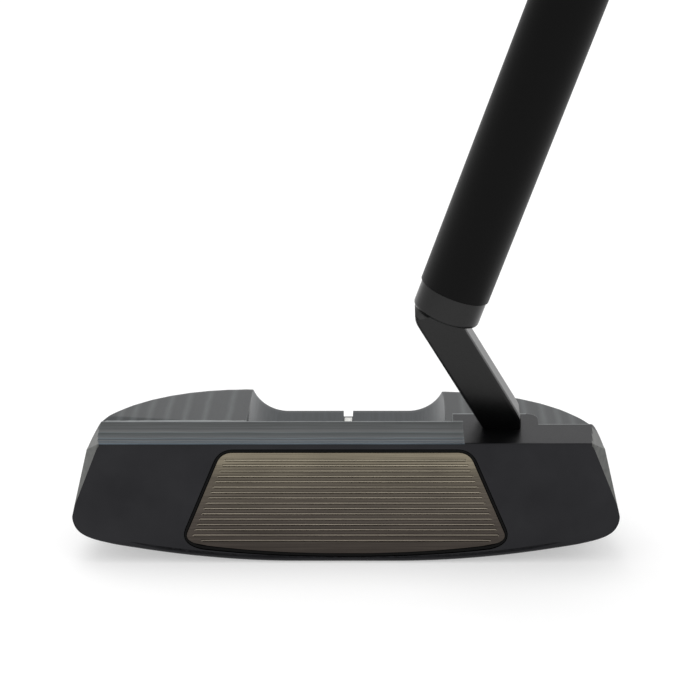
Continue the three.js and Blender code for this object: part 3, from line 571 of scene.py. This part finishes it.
def plain_finish(name, colour, metallic, roughness, grain_mm, cloud=0.06, bump=0.2, **sockets):
    """A finish with fine grain of a real size and a little unevenness in its colour."""
    material, shader = finish(name, colour, metallic, roughness, **sockets)
    place = millimetres(material)
    grain = add_node(material, "ShaderNodeTexNoise", Vector=place, Scale=1 / grain_mm, Detail=3.0)
    value = tuple(float(c) for c in hex_colour(colour))
    spots = add_node(material, "ShaderNodeMixRGB", {"blend_type": "MULTIPLY"}, Color1=value)
    shade_of = add_node(material, "ShaderNodeMapRange", Value=grain.outputs["Fac"], To_Min=1 - 3 * cloud, To_Max=1 + cloud)
    grey = add_node(material, "ShaderNodeCombineColor", Red=shade_of.outputs[0], Green=shade_of.outputs[0], Blue=shade_of.outputs[0])
    spots.inputs["Fac"].default_value = 1.0
    material.node_tree.links.new(grey.outputs[0], spots.inputs["Color2"])
    material.node_tree.links.new(spots.outputs[0], shader.inputs["Base Color"])
    rough = add_node(material, "ShaderNodeMapRange", Value=grain.outputs["Fac"], To_Min=roughness - 0.06, To_Max=roughness + 0.06)
    material.node_tree.links.new(rough.outputs[0], shader.inputs["Roughness"])
    relief = add_node(material, "ShaderNodeBump", Height=grain.outputs["Fac"], Strength=bump, Distance=0.00003)
    material.node_tree.links.new(relief.outputs[0], shader.inputs["Normal"])
    return material


def dress(names, material):
    """Gives CAD nodes a finish."""
    for name in names:
        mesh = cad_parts[name].data
        mesh.materials.clear()
        mesh.materials.append(material)


ELASTOMER = plain_finish("moulded_thermoplastic_elastomer", "#060606", 0.0, 0.8, 0.25)
ELASTOMER.node_tree.nodes["Principled BSDF"].inputs["Specular IOR Level"].default_value = 0.15
dress(["insert_cradle", "toe_weight_washer", "heel_weight_washer"], ELASTOMER)


# --- Face insert --------------------------------------------------------------------------
# Machined plate with sixteen straight grooves from a small ball cutter, then bronze PVD.
# The grooves keep a plain border, and their ends are round.

GROOVES, GROOVE_FIRST, GROOVE_PITCH = 16, 22.1, 1.146
GROOVE_HALF, GROOVE_CUT, GROOVE_MARGIN = 0.27, 0.3, 1.25


def insert_half(height):
    """Half-width of the insert at heights up the face, read from its outline."""
    edge = insert_outline(-FIT)
    edge = edge[:len(edge) // 2 + 1]
    return np.interp(height, edge[:, 1], edge[:, 0])


def insert_points():
    """The insert's front as rows up the face and columns across it. Groove depth is an arc across
    the groove, faded out by another arc over its last half-width."""
    low = INSERT_FOOT - INSERT_BOW + FIT
    up = np.linspace(0, 1, 14)[1:] ** 2
    centres = GROOVE_FIRST - GROOVE_PITCH * np.arange(GROOVES)
    near = np.sin(np.linspace(-1, 1, 9) * math.pi / 2) * GROOVE_HALF
    heights = np.concatenate([low + 0.02 + up * 1.6, (centres[:, None] + near).ravel(),
                              centres - GROOVE_PITCH / 2,
                              INSERT_TOP - FIT - 2.3 * np.linspace(0, 1, 16) ** 2])
    heights = np.unique(np.round(heights[heights <= INSERT_TOP - FIT], 3))[:, None]
    half = insert_half(heights)
    edge = np.concatenate([[0, 0.1], np.linspace(0.5, 2.6, 22), [4, 7]])
    inner = np.linspace(-1, 1, 21)
    reach = np.maximum(half - 8, 0.2 * half)
    squeeze = (half - reach) / 8
    left = -half + edge * squeeze
    across = np.concatenate([left, reach * inner, -left[:, ::-1]], axis=1)
    depth = np.zeros_like(across)
    for centre in centres:
        tuck = 1.2 if centre == centres[-1] else 0.0
        end = insert_half(np.array(centre)) - GROOVE_MARGIN - tuck - GROOVE_HALF
        beyond = np.clip(np.abs(across) - end, 0, None)
        radius = np.hypot(heights - centre, beyond) / GROOVE_HALF
        depth = np.maximum(depth, GROOVE_CUT * np.sqrt(np.clip(1 - radius ** 2, 0, 1)))
    return across, np.broadcast_to(heights, across.shape), depth + 0.02


def plate_from_grid(name, across, up, depth, thick):
    """A closed plate: the front grid, a skirt round it and a flat back."""
    rows, columns = across.shape
    front = np.stack([across, up, depth], -1).reshape(-1, 3)
    index = np.arange(rows * columns).reshape(rows, columns)
    quads = np.stack([index[:-1, :-1], index[:-1, 1:], index[1:, 1:], index[1:, :-1]], -1).reshape(-1, 4)
    rim = np.concatenate([index[0, :-1], index[:-1, -1], index[-1, :0:-1], index[:0:-1, 0]])
    back = front[rim].copy()
    back[:, 2] = thick
    start, count = rows * columns, len(rim)
    skirt = [(rim[i], start + i, start + (i + 1) % count, rim[(i + 1) % count]) for i in range(count)]
    faces = quads.tolist() + skirt + [tuple(range(start, start + count))]
    return to_mesh(name, onto_face(np.concatenate([front, back])), faces, 40)


def bronze_pvd(name, stops):
    """Bronze-brown PVD over milled metal: warm satin, fine lines along the cut. Its colour runs up the
    face through the stops, lighter and browner toward the top: a painted reflection."""
    material, shader = finish(name, "#6b6056", 1.0, 0.34)
    place = millimetres(material)
    height = add_node(material, "ShaderNodeSeparateXYZ", Vector=place).outputs[2]
    waver = add_node(material, "ShaderNodeTexNoise", Vector=place, Scale=0.07, Detail=2.0)
    shift = add_node(material, "ShaderNodeMath", {"operation": "MULTIPLY_ADD"}, n0=waver.outputs["Fac"], n1=5.0, n2=height)
    share = add_node(material, "ShaderNodeMapRange", Value=shift.outputs[0], From_Min=4.5, From_Max=26.5)
    painted_tone = ramp(material, share.outputs[0], stops)
    stretch = add_node(material, "ShaderNodeMapping", Vector=place, Scale=(0.05, 1.0, 6.0))
    lines = add_node(material, "ShaderNodeTexNoise", Vector=stretch.outputs[0], Scale=1.2, Detail=4.0)
    shine = add_node(material, "ShaderNodeMapRange", Value=lines.outputs["Fac"], From_Min=0.3, From_Max=0.7, To_Min=0.75, To_Max=1.25)
    colour = add_node(material, "ShaderNodeVectorMath", {"operation": "SCALE"}, n0=painted_tone, Scale=shine.outputs[0])
    material.node_tree.links.new(colour.outputs[0], shader.inputs["Base Color"])
    bump = add_node(material, "ShaderNodeBump", Height=lines.outputs["Fac"], Strength=0.15, Distance=0.00002)
    material.node_tree.links.new(bump.outputs[0], shader.inputs["Normal"])
    return material


def mark_grooves(piece):
    """Groove walls that look up get a painted highlight; those that look down get painted shade."""
    mesh = piece.data
    normal = np.empty(3 * len(mesh.polygons))
    mesh.polygons.foreach_get("normal", normal)
    up = normal.reshape(-1, 3)[:, 2]
    front = normal.reshape(-1, 3)[:, 1] < -0.1
    mesh.polygons.foreach_set("material_index", np.select([front & (up > 0.12), front & (up < -0.4)], [1, 2], 0).astype(np.int32))


insert = plate_from_grid("grooved_insert", *insert_points(), INSERT_THICK)
# Height ramps for the face, the groove lips and the groove walls: painted reflection lighter toward the top, painted
# highlight on lips that look up, painted shade on walls that look down.
for name, stops in (("milled_bronze_pvd_steel", [(0, "#3e3935"), (0.35, "#4c4641"), (0.75, "#5b554c"), (1, "#857d6c")]),
                    ("painted_highlight_lip_of_bronze_pvd", [(0, "#837b71"), (0.5, "#958d80"), (1, "#aaa28f")]),
                    ("shaded_wall_of_bronze_pvd", [(0, "#1d1b19"), (1, "#2c2925")])):
    insert.data.materials.append(bronze_pvd(name, stops))
mark_grooves(insert)
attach(insert, "root")
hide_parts("face_insert")


# --- Sight-line paint ---------------------------------------------------------------------
# White enamel run into the groove and wiped level.

PAINT = plain_finish("white_enamel_fill", "#f3f3ef", 0.0, 0.45, 0.6, cloud=0.01)
dress(["sight_line_paint"], PAINT)


# --- Slant neck ---------------------------------------------------------------------------
# Milled from steel in one piece: a flat slanted bar, the collar that the shaft stops on and the
# post that the shaft slips over. Bead-blasted, then black PVD.

LIE_TILT = math.radians(20)
AIM_X, AXIS_Y = 0.97, EDGE_Y + 3.5
SHAFT_START, COLLAR_LENGTH, COLLAR_R, POST_R, POST_LENGTH = 61.0, 5.5, 6.75, 5.9, 28.0
NECK_X, NECK_Y, NECK_WIDTH, NECK_THICK = 32.45, EDGE_Y + 13.5, 9.2, 9.0
NECK_LEFT, NECK_RIGHT = 13.95, 35.65     # the bar's sides are trimmed upright here


def on_axis(points):
    """Turns points in the shaft's own frame (last value up the shaft) to the club's frame."""
    a, b, s = np.moveaxis(np.asarray(points, float), -1, 0)
    return np.stack([AIM_X + a * math.cos(LIE_TILT) + s * math.sin(LIE_TILT), AXIS_Y + b,
                     s * math.cos(LIE_TILT) - a * math.sin(LIE_TILT)], -1)


def turned(name, profile, sides=96, smooth_angle=28, place=on_axis):
    """A (radius, height) profile turned about the axis."""
    radius, height = np.asarray(profile, float).T
    angle = np.linspace(0, 2 * math.pi, sides, endpoint=False)[:, None]
    points = np.stack([radius * np.cos(angle), radius * np.sin(angle), height + 0 * angle], -1)
    return to_mesh(name, place(points.reshape(-1, 3)), tube_faces(sides, len(radius))[:-2], smooth_angle)


def rounded_box_section(half_a, half_b, corner, count):
    """Points round a rectangle with round corners, evenly by angle on a superellipse-like path."""
    angle = np.linspace(0, 2 * math.pi, count, endpoint=False) + math.pi / count
    c, s = np.cos(angle), np.sin(angle)
    inner_a, inner_b = half_a - corner, half_b - corner
    reach = np.minimum(half_a / np.maximum(np.abs(c), 1e-9), half_b / np.maximum(np.abs(s), 1e-9))
    flat = np.stack([reach * c, reach * s], -1)
    core = np.clip(flat, [-inner_a, -inner_b], [inner_a, inner_b])
    out = flat - core
    length = np.linalg.norm(out, axis=-1, keepdims=True)
    return np.where(length > corner, core + out / np.maximum(length, 1e-9) * corner, flat)


def neck_bar():
    """A rounded rectangle carried up a straight slanted line. Its sides are the slanted ones or
    the upright trims, whichever is further in."""
    meet = SHAFT_START - COLLAR_LENGTH
    meet_z, meet_x = meet * math.cos(LIE_TILT), AIM_X + meet * math.sin(LIE_TILT) - 1.57
    lean_x, lean_y = (meet_x - NECK_X) / (meet_z - TOP_Z), (AXIS_Y - NECK_Y) / (meet_z - TOP_Z)
    rise = np.concatenate([[-0.3, 0.0], np.linspace(0.4, 3.6, 16), np.linspace(4, 30.5, 60)])[:, None]
    left = NECK_X - NECK_WIDTH / 2 + lean_x * rise
    right = left + NECK_WIDTH
    left = NECK_LEFT + np.logaddexp(0, 4 * (left - NECK_LEFT)) / 4
    right = NECK_RIGHT - np.logaddexp(0, 4 * (NECK_RIGHT - right)) / 4
    ring = rounded_box_section(1.0, NECK_THICK / 2, 0.9, 128)
    unit_x = np.sign(ring[:, 0]) * (1 - np.abs(ring[:, 0]))
    half = (right - left) / 2
    x = (left + right) / 2 + np.sign(ring[:, 0]) * half - unit_x
    y = NECK_Y + lean_y * rise + ring[:, 1]
    z = TOP_Z + rise + 0 * x
    points = np.stack([x, y, z], -1).transpose(1, 0, 2).reshape(-1, 3)
    return to_mesh("neck_bar", points, tube_faces(128, len(rise)), 32)


def neck_turned_part():
    """Collar and post, turned on the shaft's axis."""
    foot, top = SHAFT_START - COLLAR_LENGTH, SHAFT_START + POST_LENGTH
    t = np.linspace(0, math.pi / 2, 10)
    corner = np.column_stack([COLLAR_R - 0.9 + 0.9 * np.sin(t), foot + 0.9 - 0.9 * np.cos(t)])
    profile = [(0, foot), *corner.tolist(), (COLLAR_R, SHAFT_START - 0.12), (COLLAR_R - 0.06, SHAFT_START - 0.06),
               (POST_R, SHAFT_START - 0.06), (POST_R, top - 1), (POST_R - 1, top), (0, top)]
    return turned("slant_neck_piece", profile, 96)


neck = neck_turned_part()
bar = neck_bar()
BLACK_PVD = plain_finish("bead_blasted_black_pvd_steel", "#343434", 1.0, 0.34, 0.3)


def join(piece, others, fuse=True):
    """Fuses other pieces into one."""
    for other in others:
        tool = piece.modifiers.new("join", "BOOLEAN")
        tool.operation = "UNION"
        tool.solver = "MANIFOLD"
        tool.object = other
    graph = bpy.context.evaluated_depsgraph_get()
    piece.data = bpy.data.meshes.new_from_object(piece.evaluated_get(graph))
    piece.modifiers.clear()
    piece.data.materials.clear()
    piece.data.polygons.foreach_set("material_index", np.zeros(len(piece.data.polygons), np.int32))
    for other in others:
        bpy.data.objects.remove(other, do_unlink=True)
    shade(piece, 28)


def trim_bar():
    """Keeps the bar below the collar's underside."""
    top = SHAFT_START - COLLAR_LENGTH + 0.4
    block, faces = prism([(-30, -30), (30, -30), (30, 30), (-30, 30)], top, top + 40)
    ring = [(COLLAR_R, top - 1.6), (30, top - 1.6), (30, top + 14), (COLLAR_R - 0.9, top + 14),
            (COLLAR_R - 0.9, top - 0.3), (COLLAR_R, top - 1.6)]
    cut(bar, [to_mesh("trim_block", on_axis(block), faces), turned("trim_ring", ring, 96)])


trim_bar()
join(neck, [bar])
neck.data.materials.append(BLACK_PVD)
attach(neck, "root")
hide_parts("slant_neck")


# --- Sole plate, screws and weights -------------------------------------------------------
# Stainless plate and weights machined to the sole's curve; black countersunk screws.

SATIN_STEEL = plain_finish("satin_machined_stainless_steel", "#9b9b9a", 1.0, 0.3, 0.4)
dress(["sole_plate", "neck_screw", "toe_sole_weight", "heel_sole_weight", "cap_plug"], SATIN_STEEL)
dress([f"sole_plate_screw_{i}" for i in (1, 2, 3, 4)], BLACK_PVD)


# --- Shaft --------------------------------------------------------------------------------
# Steel tube, tapered for its first stretch and then parallel, sprayed matt black. It slips over
# the neck's post and stops on the collar.

CLUB_LENGTH, CAP_THICK = 863.6, 4.0
TIP_R, BUTT_R, TAPER_END = 7.05, 7.62, 300.0
SHAFT_END = CLUB_LENGTH - CAP_THICK - 1


def shaft():
    profile = [(POST_R + 0.15, SHAFT_START + 30), (POST_R + 0.15, SHAFT_START), (TIP_R - 0.15, SHAFT_START),
               (TIP_R - 0.05, SHAFT_START + 0.05), (TIP_R, SHAFT_START + 0.15)]
    profile += [(TIP_R + (BUTT_R - TIP_R) * t, SHAFT_START + (TAPER_END - SHAFT_START) * t) for t in (0.25, 0.5, 0.75, 1.0)]
    profile += [(BUTT_R, SHAFT_END), (BUTT_R - 0.7, SHAFT_END), (BUTT_R - 0.7, TAPER_END), profile[0]]
    return turned("shaft", profile, 128)


tube = shaft()
MATT_BLACK = plain_finish("matt_black_sprayed_steel", "#0b0b0b", 0.0, 0.42, 0.35, bump=0.2)
MATT_BLACK.node_tree.nodes["Principled BSDF"].inputs["Specular IOR Level"].default_value = 0.07
tube.data.materials.append(MATT_BLACK)
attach(tube, "root")
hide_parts("shaft_tube")


# --- Grip ---------------------------------------------------------------------------------
# Crepe tape on the butt, a foam underlisting, a wrapped polyurethane skin with a flat for the
# thumbs, and a moulded cap with a slotted plug.

dress(["grip_tape"], plain_finish("double_sided_crepe_tape", "#d8d3c4", 0.0, 0.8, 0.8))
dress(["grip_core"], plain_finish("eva_foam", "#3a3a3c", 0.0, 0.9, 0.8))
dress(["grip_end_cap"], plain_finish("moulded_rubber", "#141415", 0.0, 0.75, 0.4))


GRIP_START, GRIP_END, GRIP_FOOT_SIZE, GRIP_TOP_SIZE = 596.0, CLUB_LENGTH - CAP_THICK - 0.1, 12.3, 15.0
GRIP_MOUTH, GRIP_WALL, GRIP_BORE, WRAP_PITCH = 5.0, 2.0, BUTT_R + 0.45, 21.0


def grip_size(s):
    """Half-width along the grip: a straight taper, less the square of the share of the rounded
    mouth still ahead."""
    share = np.clip((s - GRIP_START) / (CLUB_LENGTH - GRIP_START), 0, 1)
    into_mouth = np.clip(1 - (s - GRIP_START) / GRIP_MOUTH, 0, 1)
    return GRIP_FOOT_SIZE + (GRIP_TOP_SIZE - GRIP_FOOT_SIZE) * share - 1.6 * into_mouth ** 2


def grip_sleeve():
    """A circle with a flat for the thumbs, carried up the taper. The wrap's edge is a helix: the
    wall sinks by an exponential of the distance past each turn's edge. Inside is the core's room."""
    angle = np.linspace(0, 2 * math.pi, 144, endpoint=False)[:, None]
    flat = np.stack([np.maximum(np.cos(angle), -0.86), np.sin(angle)], -1)
    outer = np.linspace(GRIP_START, GRIP_END, 620)
    turn = np.mod(outer / WRAP_PITCH - angle / (2 * math.pi), 1) * WRAP_PITCH
    ends = np.clip((outer - GRIP_START) / 6, 0, 1) * np.clip((GRIP_END - outer) / 4, 0, 1)
    size = grip_size(outer) - 0.03 - 0.42 * ends * np.exp(-turn / 0.9)
    hollow = np.linspace(GRIP_END, GRIP_START + GRIP_MOUTH, 14)
    inner = flat * (grip_size(hollow) - GRIP_WALL)[None, :, None]
    bore = np.stack([np.cos(angle), np.sin(angle)], -1) * GRIP_BORE * np.ones((1, 2, 1))
    bore_s = np.array([GRIP_START + GRIP_MOUTH, GRIP_START])
    across = np.concatenate([flat * size[..., None], inner, bore, (flat * size[..., None])[:, :1]], 1)
    up = np.concatenate([outer, hollow, bore_s, outer[:1]])
    up = np.broadcast_to(up, across.shape[:2])[..., None]
    points = on_axis(np.concatenate([across, up], -1)).reshape(-1, 3)
    return to_mesh("wrapped_grip_skin", points, tube_faces(len(angle), across.shape[1])[:-2], 40)


sleeve = grip_sleeve()
sleeve.data.materials.append(plain_finish("wrapped_polyurethane", "#1d1e20", 0.0, 0.62, 0.45, cloud=0.1, bump=0.6))
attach(sleeve, "root")
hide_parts("grip_skin")


# --- Floor, light and camera --------------------------------------------------------------

def make_floor():
    floor, faces = prism([(-3000, -3000), (3000, -3000), (3000, 3000), (-3000, 3000)], -12, -0.02)
    piece = to_mesh("floor", floor, faces)
    material, shader = finish("white_paper", "#c8c8c8", 0.0, 0.9)
    shader.inputs["Emission Color"].default_value = (1, 1, 1, 1)
    shader.inputs["Emission Strength"].default_value = 0.44
    piece.data.materials.append(material)


def make_world():
    world = bpy.data.worlds.new("studio")
    bpy.context.scene.world = world
    world.use_nodes = True
    back = world.node_tree.nodes["Background"]
    back.inputs["Color"].default_value = (1, 1, 1, 1)
    back.inputs["Strength"].default_value = 0.9


def add_light(name, place, target, size, watts):
    data = bpy.data.lights.new(name, "AREA")
    data.shape = "DISK"
    data.size = size
    data.energy = watts
    lamp = bpy.data.objects.new(name, data)
    lamp.location = place
    aim = np.array(target) - np.array(place)
    lamp.rotation_euler = Vector(aim.tolist()).to_track_quat("-Z", "Y").to_euler()
    bpy.context.scene.collection.objects.link(lamp)


def make_camera():
    """Camera in front of the face, a little to the heel side, looking down at the head."""
    down, aside, roll = math.radians(19.6), math.radians(1.044), math.radians(0.414)
    data = bpy.data.cameras.new("camera")
    data.sensor_width = 36
    data.lens = 128.57
    camera = bpy.data.objects.new("camera", data)
    ahead = np.array([-math.sin(aside) * math.cos(down), math.cos(aside) * math.cos(down), -math.sin(down)])
    right = np.array([math.cos(aside), math.sin(aside), 0])
    above = np.cross(right, ahead)
    turned_right = math.cos(roll) * right - math.sin(roll) * above
    turned_above = math.sin(roll) * right + math.cos(roll) * above
    matrix = np.eye(4)
    matrix[:3, 0], matrix[:3, 1], matrix[:3, 2] = turned_right, turned_above, -ahead
    matrix[:3, 3] = np.array([9.63, -474.56, 211.46]) * MM
    camera.matrix_world = Matrix(matrix.tolist())
    bpy.context.scene.collection.objects.link(camera)
    bpy.context.scene.camera = camera


make_floor()
make_world()
make_camera()
add_light("overhead", (-0.3, 0.3, 1.4), (0, 0, 0), 1.0, 6)
bpy.context.scene.view_settings.view_transform = "Standard"
